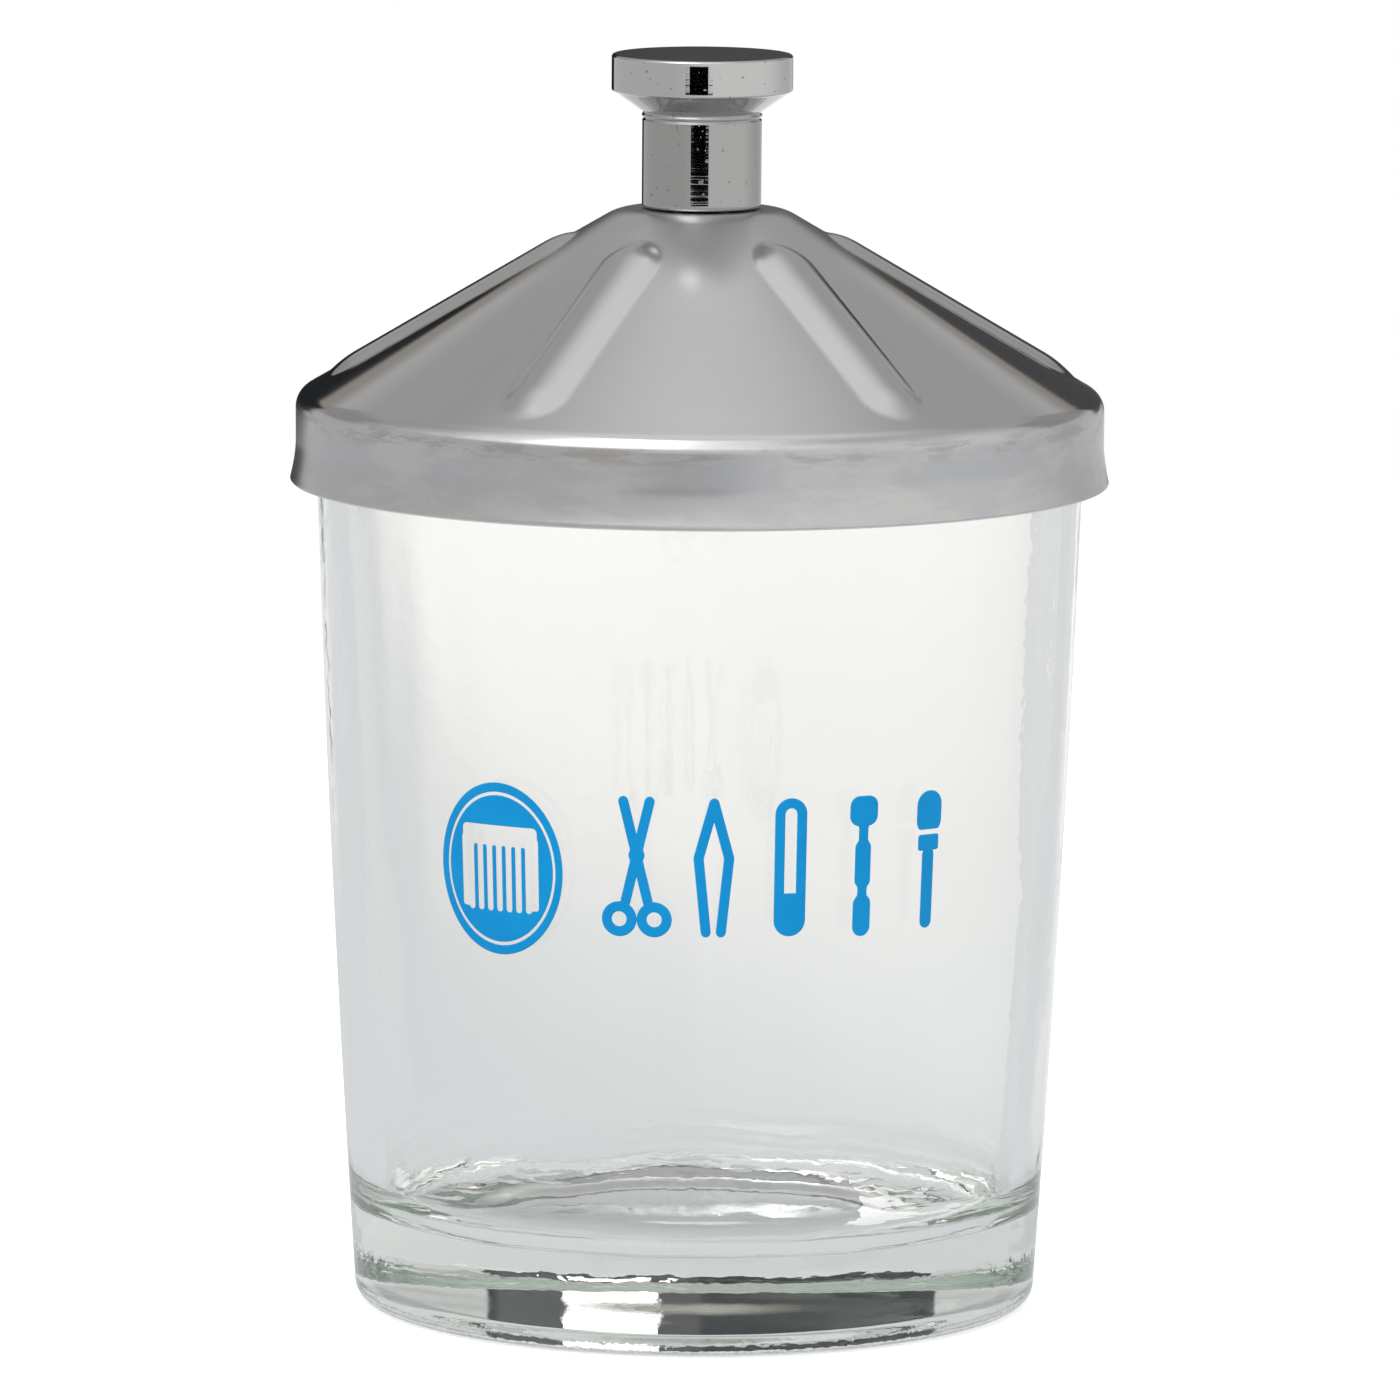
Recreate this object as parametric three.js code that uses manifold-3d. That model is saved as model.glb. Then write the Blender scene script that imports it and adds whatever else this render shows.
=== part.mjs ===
// A disinfectant jar for a manicure table: a heavy clear glass jar with a loose lid of pressed
// stainless steel, and a turned, chromed knob held on the lid by a screw from below.
// Millimetres, +Z up. The origin is the centre of the jar's foot, on the surface it stands on,
// and the front of the jar looks along -Y.

import * as THREE from 'three';
import { mergeVertices } from 'three/addons/utils/BufferGeometryUtils.js';
import Module from 'manifold-3d';

const DEGREE = Math.PI / 180;

// Glass jar
const footRadius = 34.3;        // where the wall's taper would meet the table
const mouthRadius = 38.8;
const wallBow = 0.4;            // how far the wall bulges past a straight taper, half way up
const wallThickness = 3.0;
const jarBaseThickness = 9.5;   // from the table up to the edge of the floor inside
const baseCornerRadius = 1.8;
const floorFilletRadius = 4.5;
const floorDishDepth = 1.5;     // how far the middle of the floor lies below its edge
const floorDishMiddle = 5;      // radius of its flat middle
const restRingInner = 27.5;     // the flat ring that the jar stands on
const puntHeight = 1.0;         // the hollow under the base
const puntSlope = 20;           // radius at which the hollow starts to fall to the ring
const puntBossDrop = 0.45;      // low boss in the middle of the hollow
const puntBossRadius = 12;

// Lid, pressed from one sheet
const sheet = 0.55;
const lidTopZ = 110.8;
const lidTopRadius = 7.0;       // flat seat under the knob
const crownRadius = 5.0;        // bend between the seat and the cone
const coneSlope = 30.3 * DEGREE;
const shoulderRadius = 2.2;     // bend between the cone and the skirt
const skirtRadius = 40.65;
const waistZ = 87.3;
const lipZ = 83.7;
const lipRadius = 41.25;

// Ribs pressed up out of the cone
const ribCount = 6;
const ribAzimuth = 32.5 * DEGREE; // from the front towards +X
const ribRise = 0.88;
const ribHalfWidth = 3.3;
const ribFlank = 1.7;           // width of the slope on each side of the crest
const ribInnerEnd = 12.5;
const ribOuterEnd = 38.0;
const ribFacetShare = 0.5;      // share of the lid's facets that the ribs take

// Knob
const knobTopZ = 126.3;
const knobRadius = 9.1;
const knobRimZ = 122.65;        // lower edge of the rim
const knobNeckZ = 120.5;        // where the cone under the rim meets the stem
const knobStemRadius = 6.0;
const neckGroove = 0.35;
const knobEdge = 0.3;           // broken edges

// Screw, washer and lock washer under the lid
const screwRadius = 2.0;
const screwClearance = 0.3;
const screwGrip = 8.0;          // length of screw inside the knob
const screwTipRoom = 1.5;       // hole left past the screw's tip
const screwTipChamfer = 0.8;
const screwHeadRadius = 4.0;
const screwHeadHeight = 2.4;
const screwHeadDome = 1.5;      // domed part of the head's height
const recessWidth = 0.9;
const recessLength = 4.2;
const recessDepth = 1.4;
const washerRadius = 6.0;
const washerThickness = 0.9;
const lockWasherRadius = 3.9;
const lockWasherThickness = 0.9;
const lockWasherGap = 16 * DEGREE;

// Clearance
const faceGap = 0.15;           // between faces that are clamped together
const lidSeatGap = 0.3;         // between the lid and the jar's rim that it rests on

// Facets
const jarFacets = 72;
const lidFacets = 72;
const knobFacets = 48;
const screwFacets = 32;

const glassMaterial = new THREE.MeshStandardMaterial({
  color: 0xe9eeec, roughness: 0.05, metalness: 0, transparent: true, opacity: 0.35,
});
const lidMaterial = new THREE.MeshStandardMaterial({ color: 0xa9abad, roughness: 0.32, metalness: 1 });
const chromeMaterial = new THREE.MeshStandardMaterial({ color: 0xc4c5c7, roughness: 0.1, metalness: 1 });
const fastenerMaterial = new THREE.MeshStandardMaterial({ color: 0x9d9fa1, roughness: 0.4, metalness: 1 });

function point(radius, height) {
  return new THREE.Vector2(radius, height);
}

// Points of an arc about a centre, from one angle to another, both ends included.
function arc(centreRadius, centreHeight, radius, from, to, steps) {
  const points = [];
  for (let i = 0; i <= steps; i += 1) {
    const angle = from + (to - from) * i / steps;
    points.push(point(centreRadius + radius * Math.cos(angle), centreHeight + radius * Math.sin(angle)));
  }
  return points;
}

// A closed body turned about +Z. The profile runs anticlockwise in (radius, height), so its faces
// point out. Azimuth 0 is the front and azimuths grow towards +X.
function turned(profile, facets, firstAzimuth = 0) {
  const geometry = new THREE.LatheGeometry(profile, facets, firstAzimuth);
  geometry.rotateX(Math.PI / 2);
  return geometry;
}

// A path moved sideways by a distance, to the right of its direction.
function offsetPath(path, distance) {
  return path.map((place, i) => {
    const before = path[Math.max(i - 1, 0)];
    const after = path[Math.min(i + 1, path.length - 1)];
    const along = after.clone().sub(before).normalize();
    return point(place.x + along.y * distance, place.y - along.x * distance);
  });
}

// Underside of the lid's cone, away from the ribs.
function coneUndersideZ(radius) {
  const crownEndRadius = lidTopRadius + crownRadius * Math.sin(coneSlope);
  const crownEndZ = lidTopZ - crownRadius * (1 - Math.cos(coneSlope));
  return crownEndZ - (radius - crownEndRadius) * Math.tan(coneSlope) - sheet / Math.cos(coneSlope);
}

const rimRound = wallThickness / 2;
const rimCentreRadius = mouthRadius - rimRound;
const rimCentreZ = coneUndersideZ(rimCentreRadius) - (rimRound + lidSeatGap) / Math.cos(coneSlope);

function jarOuterRadius(height) {
  const t = height / rimCentreZ;
  return footRadius + (mouthRadius - footRadius) * t + 4 * wallBow * t * (1 - t);
}

function wallPoints(fromZ, toZ, inset, steps) {
  const points = [];
  for (let i = 0; i <= steps; i += 1) {
    const height = fromZ + (toZ - fromZ) * i / steps;
    points.push(point(jarOuterRadius(height) - inset, height));
  }
  return points;
}

function glassJar() {
  const wallSteps = 4;
  const cornerSteps = 4;
  const rimSteps = 6;
  const cornerRadius = jarOuterRadius(baseCornerRadius) - baseCornerRadius;
  const filletZ = jarBaseThickness + floorFilletRadius;
  const filletRadius = jarOuterRadius(filletZ) - wallThickness - floorFilletRadius;
  const profile = [
    point(0, puntHeight - puntBossDrop),
    point(puntBossRadius, puntHeight),
    point(puntSlope, puntHeight),
    point(restRingInner, 0),
    ...arc(cornerRadius, baseCornerRadius, baseCornerRadius, -90 * DEGREE, 0, cornerSteps),
    ...wallPoints(baseCornerRadius, rimCentreZ, 0, wallSteps).slice(1),
    ...arc(rimCentreRadius, rimCentreZ, rimRound, 0, 180 * DEGREE, rimSteps).slice(1),
    ...wallPoints(rimCentreZ, filletZ, wallThickness, wallSteps).slice(1),
    ...arc(filletRadius, filletZ, floorFilletRadius, 0, -90 * DEGREE, cornerSteps).slice(1),
    point(floorDishMiddle, jarBaseThickness - floorDishDepth),
    point(0, jarBaseThickness - floorDishDepth),
  ];
  return turned(profile, jarFacets);
}

// Height of the ribs above the cone, for a place measured along and across the nearest rib.
function ribHeight(along, across) {
  const nearestAlong = THREE.MathUtils.clamp(along, ribInnerEnd + ribHalfWidth, ribOuterEnd - ribHalfWidth);
  const edge = ribHalfWidth - Math.hypot(along - nearestAlong, across);
  return ribRise * THREE.MathUtils.smoothstep(edge, 0, ribFlank);
}

// Presses the ribs into the lid. The ribs take their share of the facets, so that their flanks are
// followed closely, and on the skirt the facets go back to equal widths.
function pressRibs(geometry) {
  const sector = 360 * DEGREE / ribCount;
  const position = geometry.attributes.position;
  for (let i = 0; i < position.count; i += 1) {
    const x = position.getX(i);
    const y = position.getY(i);
    const radius = Math.hypot(x, y);
    const azimuth = Math.atan2(x, -y) - ribAzimuth;
    const ribIndex = Math.round(azimuth / sector);
    const offset = azimuth - ribIndex * sector;
    const share = Math.abs(offset) / (sector / 2);
    const ribAngle = Math.min(Math.asin(Math.min(ribHalfWidth / radius, 1)), ribFacetShare * sector / 2);
    const inRib = Math.min(share / ribFacetShare, 1) * ribAngle;
    const pastRib = Math.max((share - ribFacetShare) / (1 - ribFacetShare), 0) * (sector / 2 - ribAngle);
    const even = THREE.MathUtils.smoothstep(radius, ribOuterEnd, skirtRadius - shoulderRadius);
    const fromRib = Math.sign(offset) * THREE.MathUtils.lerp(inRib + pastRib, Math.abs(offset), even);
    const angle = fromRib + ribIndex * sector + ribAzimuth;
    const rise = ribHeight(radius * Math.cos(fromRib), radius * Math.sin(fromRib));
    position.setXYZ(i, radius * Math.sin(angle), -radius * Math.cos(angle), position.getZ(i) + rise);
  }
  return geometry;
}

function lidShell() {
  const bendSteps = 3;
  const slopeEnd = 90 * DEGREE - coneSlope;
  const crown = arc(lidTopRadius, lidTopZ - crownRadius, crownRadius, 90 * DEGREE, slopeEnd, bendSteps);
  const crownEnd = crown[crown.length - 1];
  const shoulderCentreRadius = skirtRadius - shoulderRadius;
  const shoulderStartRadius = shoulderCentreRadius + shoulderRadius * Math.cos(slopeEnd);
  const shoulderStartZ = crownEnd.y - (shoulderStartRadius - crownEnd.x) * Math.tan(coneSlope);
  const shoulderCentreZ = shoulderStartZ - shoulderRadius * Math.sin(slopeEnd);
  const ribEndSteps = [0.35, 0.7, 1.2];
  const coneRadii = [
    ...ribEndSteps.map((t) => ribInnerEnd + ribHalfWidth * t),
    (ribInnerEnd + ribOuterEnd) / 2,
    ...ribEndSteps.map((t) => ribOuterEnd - ribHalfWidth * t).reverse(),
    ribOuterEnd,
  ];
  const cone = coneRadii.map((radius) => (
    point(radius, crownEnd.y - (radius - crownEnd.x) * Math.tan(coneSlope))
  ));
  const flare = [0.4, 0.7, 1].map((t) => (
    point(skirtRadius + (lipRadius - skirtRadius) * t * t, waistZ + (lipZ - waistZ) * t)
  ));
  const outside = [
    point(screwRadius + screwClearance, lidTopZ),
    ...crown,
    ...cone,
    ...arc(shoulderCentreRadius, shoulderCentreZ, shoulderRadius, slopeEnd, 0, bendSteps),
    point(skirtRadius, waistZ),
    ...flare,
  ];
  const inside = offsetPath(outside, sheet);
  return pressRibs(turned([...inside, ...outside.reverse(), inside[0]], lidFacets, ribAzimuth));
}

function lidKnob() {
  const foot = lidTopZ + faceGap;
  const holeRadius = screwRadius + screwClearance;
  const holeEnd = foot + screwGrip + screwTipRoom;
  const profile = [
    point(0, holeEnd),
    point(holeRadius, holeEnd),
    point(holeRadius, foot),
    point(knobStemRadius - knobEdge, foot),
    point(knobStemRadius, foot + knobEdge),
    point(knobStemRadius, knobNeckZ - 2 * neckGroove),
    point(knobStemRadius - neckGroove, knobNeckZ - neckGroove),
    point(knobStemRadius, knobNeckZ),
    point(knobRadius - knobEdge, knobRimZ),
    point(knobRadius, knobRimZ + knobEdge),
    point(knobRadius, knobTopZ - knobEdge),
    point(knobRadius - knobEdge, knobTopZ),
    point(0, knobTopZ),
  ];
  return turned(profile, knobFacets);
}

// A flat ring between two radii, standing on a height.
function flatRing(innerRadius, outerRadius, height, thickness, facets) {
  const corners = [
    point(innerRadius, height),
    point(outerRadius, height),
    point(outerRadius, height + thickness),
    point(innerRadius, height + thickness),
    point(innerRadius, height),
  ];
  return turned(corners, facets);
}

const washerZ = lidTopZ - sheet - faceGap - washerThickness;
const lockWasherZ = washerZ - faceGap - lockWasherThickness;
const screwSeatZ = lockWasherZ - faceGap;

// A spring washer, squeezed flat, with its split to the back.
function lockWasher() {
  const innerRadius = screwRadius + screwClearance;
  const start = 90 * DEGREE + lockWasherGap / 2;
  const end = 450 * DEGREE - lockWasherGap / 2;
  const outline = new THREE.Shape();
  outline.absarc(0, 0, lockWasherRadius, start, end, false);
  outline.absarc(0, 0, innerRadius, end, start, true);
  const geometry = new THREE.ExtrudeGeometry(outline, {
    depth: lockWasherThickness, bevelEnabled: false, curveSegments: screwFacets,
  });
  geometry.translate(0, 0, lockWasherZ);
  return geometry;
}

const wasm = await Module();
wasm.setup();

function toManifold(geometry) {
  const bare = geometry.clone();
  bare.deleteAttribute('normal');
  bare.deleteAttribute('uv');
  const merged = mergeVertices(bare, 1e-5);
  return new wasm.Manifold(new wasm.Mesh({
    numProp: 3,
    vertProperties: new Float32Array(merged.attributes.position.array),
    triVerts: new Uint32Array(merged.index.array),
  }));
}

function fromManifold(solid) {
  const mesh = solid.getMesh();
  const geometry = new THREE.BufferGeometry();
  geometry.setAttribute('position', new THREE.BufferAttribute(mesh.vertProperties, 3));
  geometry.setIndex(new THREE.BufferAttribute(mesh.triVerts, 1));
  geometry.computeVertexNormals();
  return geometry;
}

// A pan-head machine screw, head down, with a cross recess in the head.
function knobScrew() {
  const headZ = screwSeatZ - screwHeadHeight;
  const tipZ = lidTopZ + faceGap + screwGrip;
  const dome = [0, 0.25, 0.5, 0.75, 0.92, 1].map((t) => (
    point(screwHeadRadius * t, headZ + screwHeadDome * (1 - Math.sqrt(1 - t * t)))
  ));
  const profile = [
    ...dome,
    point(screwHeadRadius, screwSeatZ),
    point(screwRadius, screwSeatZ),
    point(screwRadius, tipZ - screwTipChamfer),
    point(screwRadius - screwTipChamfer, tipZ),
    point(0, tipZ),
  ];
  let screw = toManifold(turned(profile, screwFacets));
  for (const quarter of [0, 1]) {
    const slot = new THREE.BoxGeometry(recessLength, recessWidth, 2 * recessDepth);
    slot.rotateZ(quarter * 90 * DEGREE);
    slot.translate(0, 0, headZ);
    screw = screw.subtract(toManifold(slot));
  }
  return fromManifold(screw);
}

function piece(name, geometry, material) {
  const mesh = new THREE.Mesh(geometry, material);
  mesh.name = name;
  return mesh;
}

const lid = new THREE.Group();
lid.add(
  piece('lid_shell', lidShell(), lidMaterial),
  piece('lid_knob', lidKnob(), chromeMaterial),
  piece('knob_washer', flatRing(
    screwRadius + screwClearance, washerRadius, washerZ, washerThickness, screwFacets,
  ), fastenerMaterial),
  piece('lock_washer', lockWasher(), fastenerMaterial),
  piece('knob_screw', knobScrew(), fastenerMaterial),
);

const group = new THREE.Group();
group.add(piece('glass_jar', glassJar(), glassMaterial), lid);

export default group;
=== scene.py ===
"""Looks for a disinfectant jar: a heavy clear glass jar, a loose pressed-steel lid and a chromed knob.

Shapes are worked out in millimetres in the CAD frame (+Z up, front towards -Y) and built in metres.
"""

import math

import bpy
import numpy as np
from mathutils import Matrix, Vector, noise


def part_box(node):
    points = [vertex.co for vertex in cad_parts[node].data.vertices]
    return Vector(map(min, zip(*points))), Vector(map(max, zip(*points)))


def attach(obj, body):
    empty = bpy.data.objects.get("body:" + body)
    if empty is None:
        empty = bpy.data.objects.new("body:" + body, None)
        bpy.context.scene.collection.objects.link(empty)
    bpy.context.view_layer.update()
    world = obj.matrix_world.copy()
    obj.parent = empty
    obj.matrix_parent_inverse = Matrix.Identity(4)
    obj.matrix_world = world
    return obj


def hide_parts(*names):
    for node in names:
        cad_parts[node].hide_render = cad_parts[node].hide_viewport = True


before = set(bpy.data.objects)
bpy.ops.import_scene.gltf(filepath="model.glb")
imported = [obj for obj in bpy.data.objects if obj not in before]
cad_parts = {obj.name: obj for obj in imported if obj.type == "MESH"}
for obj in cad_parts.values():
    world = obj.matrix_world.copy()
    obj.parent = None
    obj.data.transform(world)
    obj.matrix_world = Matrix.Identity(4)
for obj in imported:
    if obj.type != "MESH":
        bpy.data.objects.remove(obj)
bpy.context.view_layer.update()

MM = 0.001
SEGMENTS = 288                 # facets round the jar
FACE_GAP = 0.15                # between clamped faces, as in the frame
HOLE = 2.3                     # radius of the screw's hole in the lid, washers and knob


def box_mm(node):
    """Lowest and highest corner of a CAD node, in millimetres."""
    low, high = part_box(node)
    return low / MM, high / MM


# Main sizes, from the CAD frame, in millimetres
jar_low, jar_high = box_mm("glass_jar")
lid_low, lid_high = box_mm("lid_shell")
knob_low, knob_high = box_mm("lid_knob")
washer_low, washer_high = box_mm("knob_washer")
lock_low, lock_high = box_mm("lock_washer")
screw_low, screw_high = box_mm("knob_screw")


# ---------------------------------------------------------------- profiles and turned meshes

def arc(centre, radius, start, end, steps):
    """Points (radius, height) along an arc, with angles in degrees."""
    turn = np.radians(np.linspace(start, end, steps + 1))
    return np.column_stack((centre[0] + radius * np.cos(turn), centre[1] + radius * np.sin(turn)))


def line(start, end, steps=1):
    """Evenly spaced points (radius, height) on a straight line, both ends included."""
    share = np.linspace(0, 1, steps + 1)[:, None]
    return np.array(start) * (1 - share) + np.array(end) * share


def join(*paths):
    """One path from several, without the points that meet twice."""
    points = [paths[0][0]]
    for path in paths:
        for point in path:
            if np.hypot(*(point - points[-1])) > 1e-5:
                points.append(point)
    return np.array(points)


def offset(path, distance):
    """The path moved to the right of its direction."""
    along = np.gradient(path, axis=0)
    along /= np.linalg.norm(along, axis=1)[:, None]
    return path + distance * np.column_stack((along[:, 1], -along[:, 0]))


def mesh_object(name, places, faces):
    """A smooth mesh object from places in millimetres."""
    mesh = bpy.data.meshes.new(name)
    mesh.from_pydata((np.asarray(places) * MM).tolist(), [], faces)
    mesh.shade_smooth()
    piece = bpy.data.objects.new(name, mesh)
    bpy.context.scene.collection.objects.link(piece)
    return piece


def lathe(name, profile, segments=SEGMENTS, shape=None, first_azimuth=0.0):
    """A closed body turned about +Z from a profile that runs anticlockwise in (radius, height).

    The profile starts and ends on the axis, or closes on itself. Azimuth 0 is the front. shape
    may move the rings' places, given as arrays of azimuth, radius and height, before they are built.
    """
    on_axis = profile[0][0] < 1e-6
    rings = profile[1:-1] if on_axis else profile
    azimuth = first_azimuth + np.arange(segments) * 2 * math.pi / segments
    azimuth, radius = np.meshgrid(azimuth, rings[:, 0])
    height = np.repeat(rings[:, 1][:, None], segments, axis=1)
    if shape:
        azimuth, radius, height = shape(azimuth, radius, height)
    places = np.stack((radius * np.sin(azimuth), -radius * np.cos(azimuth), height), axis=-1)
    places = places.reshape(-1, 3).tolist()
    count = len(rings)
    faces = []
    for ring in range(count - 1 if on_axis else count):
        here, above = ring * segments, (ring + 1) % count * segments
        for i in range(segments):
            j = (i + 1) % segments
            faces.append((here + i, here + j, above + j, above + i))
    if on_axis:
        first, last = len(places), len(places) + 1
        places += [[0, 0, profile[0][1]], [0, 0, profile[-1][1]]]
        top = (count - 1) * segments
        for i in range(segments):
            j = (i + 1) % segments
            faces.append((first, j, i))
            faces.append((last, top + i, top + j))
    return mesh_object(name, places, faces)


def ripple(azimuth, radius, height, size, seed):
    """Smooth noise, about -1 to 1, at each place; size is its grain in millimetres along X, Y and Z."""
    x = radius * np.sin(azimuth) / size[0] + seed
    y = -radius * np.cos(azimuth) / size[1]
    z = height / size[2]
    values = [noise.noise(Vector(place)) for place in zip(x.ravel(), y.ravel(), z.ravel())]
    return np.array(values).reshape(azimuth.shape)


def smoothstep(low, high, value):
    """0 at low and 1 at high, with an even start and end; low may be above high."""
    t = np.clip((value - low) / (high - low), 0, 1)
    return t * t * (3 - 2 * t)


# ---------------------------------------------------------------- node helpers

class Nodes:
    """Short calls for building a node tree."""

    def __init__(self, tree):
        self.tree = tree
        tree.nodes.clear()

    def add(self, kind, inputs=None, **settings):
        node = self.tree.nodes.new(kind)
        for key, value in settings.items():
            setattr(node, key, value)
        for key, value in (inputs or {}).items():
            self.put(node.inputs[key], value)
        return node

    def put(self, socket, value):
        if isinstance(value, bpy.types.NodeSocket):
            self.tree.links.new(value, socket)
        else:
            socket.default_value = value

    def math(self, operation, first, second=0.0, third=0.0):
        node = self.add("ShaderNodeMath", {0: first, 1: second, 2: third}, operation=operation)
        return node.outputs[0]

    def times(self, first, second):
        return self.math("MULTIPLY", first, second)

    def level(self, place):
        """Height above the table."""
        return self.add("ShaderNodeSeparateXYZ", {0: place}).outputs[2]

    def reach(self, place):
        """Distance from the jar's axis."""
        flat = self.add("ShaderNodeVectorMath", {0: place, 1: (1, 1, 0)}, operation="MULTIPLY").outputs[0]
        return self.add("ShaderNodeVectorMath", {0: flat}, operation="LENGTH").outputs["Value"]

    def ramp(self, value, low, high, to_low=0.0, to_high=1.0, smooth=True):
        kind = "SMOOTHSTEP" if smooth else "LINEAR"
        node = self.add("ShaderNodeMapRange", {"Value": value, "From Min": low, "From Max": high,
                                               "To Min": to_low, "To Max": to_high},
                        interpolation_type=kind)
        return node.outputs["Result"]

    def noise(self, vector, scale, detail=3.0, rough=0.5, distortion=0.0):
        node = self.add("ShaderNodeTexNoise", {"Vector": vector, "Scale": scale, "Detail": detail,
                                               "Roughness": rough, "Distortion": distortion})
        return node.outputs["Fac"]

    def stretched(self, vector, scale):
        return self.add("ShaderNodeMapping", {"Vector": vector, "Scale": scale}).outputs[0]

    def mix(self, factor, first, second, blend="MIX"):
        node = self.add("ShaderNodeMix", {"Factor": factor}, data_type="RGBA", blend_type=blend)
        self.put(node.inputs[6], first)
        self.put(node.inputs[7], second)
        return node.outputs[2]

    def bump(self, height, strength, distance, normal=None):
        inputs = {"Height": height, "Strength": strength, "Distance": distance}
        if normal:
            inputs["Normal"] = normal
        return self.add("ShaderNodeBump", inputs).outputs[0]


def new_material(name):
    """A material with its node calls, its place in the frame, its shader and its output."""
    material = bpy.data.materials.new(name)
    material.use_nodes = True
    nodes = Nodes(material.node_tree)
    place = nodes.add("ShaderNodeTexCoord").outputs["Object"]
    shader = nodes.add("ShaderNodeBsdfPrincipled")
    output = nodes.add("ShaderNodeOutputMaterial", {"Surface": shader.outputs[0]})
    return material, nodes, place, shader, output


# ---------------------------------------------------------------- materials

def glass_material():
    """Clear pressed glass with a faint grey-green body, a light mould texture and a stippled foot."""
    material, nodes, place, shader, output = new_material("clear_glass")
    shader.inputs["Base Color"].default_value = (0.99, 0.99, 0.985, 1)
    shader.inputs["Transmission Weight"].default_value = 1.0
    shader.inputs["IOR"].default_value = 1.5
    level, reach = nodes.level(place), nodes.reach(place)
    grain = nodes.noise(place, 420.0, 2.0)
    sweep = nodes.noise(nodes.stretched(place, (1.0, 1.0, 0.35)), 70.0, 1.5)
    texture = nodes.math("MULTIPLY_ADD", grain, 0.25, sweep)
    mould = nodes.bump(nodes.times(texture, nodes.ramp(level, -1.0 * MM, 4.0 * MM)), 0.12, 0.4 * MM)
    under = nodes.times(nodes.ramp(level, 1.6 * MM, 1.3 * MM), nodes.ramp(reach, 17.0 * MM, 14.0 * MM))
    stipple = nodes.times(nodes.noise(place, 2300.0, 2.0, 0.6), under)
    foot = nodes.times(nodes.ramp(level, 2.2 * MM, 1.4 * MM), nodes.ramp(reach, 31.8 * MM, 32.6 * MM))
    beads = nodes.times(nodes.noise(place, 1300.0, 1.5), nodes.times(foot, 4.5))
    nodes.put(shader.inputs["Roughness"], nodes.times(foot, 0.06))
    nodes.put(shader.inputs["Normal"], nodes.bump(nodes.math("ADD", stipple, beads), 0.3, 0.06 * MM, mould))
    body = nodes.add("ShaderNodeVolumeAbsorption")
    body.inputs["Color"].default_value = (0.70, 0.82, 0.69, 1)
    body.inputs["Density"].default_value = 5.0
    nodes.tree.links.new(body.outputs[0], output.inputs["Volume"])
    return material


def lid_material():
    """Bright rolled stainless steel: soft reflections, smudges on the skirt, scratches, and an inside painted
    lighter than the outside as painted light under the lid.
    """
    material, nodes, place, shader, _ = new_material("lid_steel")
    shader.inputs["Metallic"].default_value = 1.0
    height, reach = nodes.level(place), nodes.reach(place)
    skirt = nodes.ramp(height, 92.5 * MM, 90.5 * MM)
    cloud = nodes.noise(place, 45.0, 4.0, 0.6)
    clean = nodes.mix(cloud, (0.56, 0.56, 0.565, 1), (0.61, 0.61, 0.61, 1))

    blotch = nodes.ramp(nodes.noise(nodes.stretched(place, (1.0, 1.0, 2.6)), 90.0, 5.0, 0.65), 0.42, 0.62)
    blotched = nodes.mix(blotch, (0.525, 0.527, 0.535, 1), (0.59, 0.582, 0.575, 1))
    edge = nodes.times(nodes.ramp(height, 88.8 * MM, 90.6 * MM), nodes.ramp(height, 94.0 * MM, 92.5 * MM))
    smear = nodes.ramp(nodes.noise(nodes.stretched(place, (1.0, 1.0, 5.0)), 150.0, 5.0, 0.7), 0.48, 0.60)
    smudged = nodes.mix(nodes.times(edge, smear), blotched, (0.465, 0.445, 0.425, 1))

    facing = nodes.add("ShaderNodeTexCoord").outputs["Normal"]
    outward = nodes.add("ShaderNodeVectorMath", {0: place, 1: facing}, operation="DOT_PRODUCT")
    inner = nodes.ramp(outward.outputs["Value"], 0.0, -0.005)
    # The inside faces get a lighter colour than the outside steel: painted light standing in for light
    # reaching under the lid.
    colour = nodes.mix(inner, nodes.mix(skirt, clean, smudged), (0.82, 0.82, 0.81, 1))
    nodes.put(shader.inputs["Base Color"], colour)

    near_knob = nodes.ramp(reach, 24.0 * MM, 10.0 * MM, 0.0, 0.2)
    haze = nodes.math("ADD", nodes.ramp(cloud, 0.3, 0.7, 0.075, 0.10), near_knob)
    worn = nodes.math("ADD", nodes.times(skirt, 0.14), nodes.times(inner, 0.2))
    nodes.put(shader.inputs["Roughness"], nodes.math("ADD", worn, haze))

    streak = nodes.noise(nodes.stretched(place, (260.0, 260.0, 14.0)), 1.0, 3.0, 0.6)
    scratch = nodes.ramp(nodes.noise(nodes.stretched(place, (900.0, 120.0, 300.0)), 1.0, 2.0), 0.66, 0.74)
    relief = nodes.math("ADD", nodes.times(streak, nodes.times(skirt, 0.5)), nodes.times(scratch, 0.25))
    nodes.put(shader.inputs["Normal"], nodes.bump(relief, 0.15, 0.04 * MM))
    return material


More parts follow.
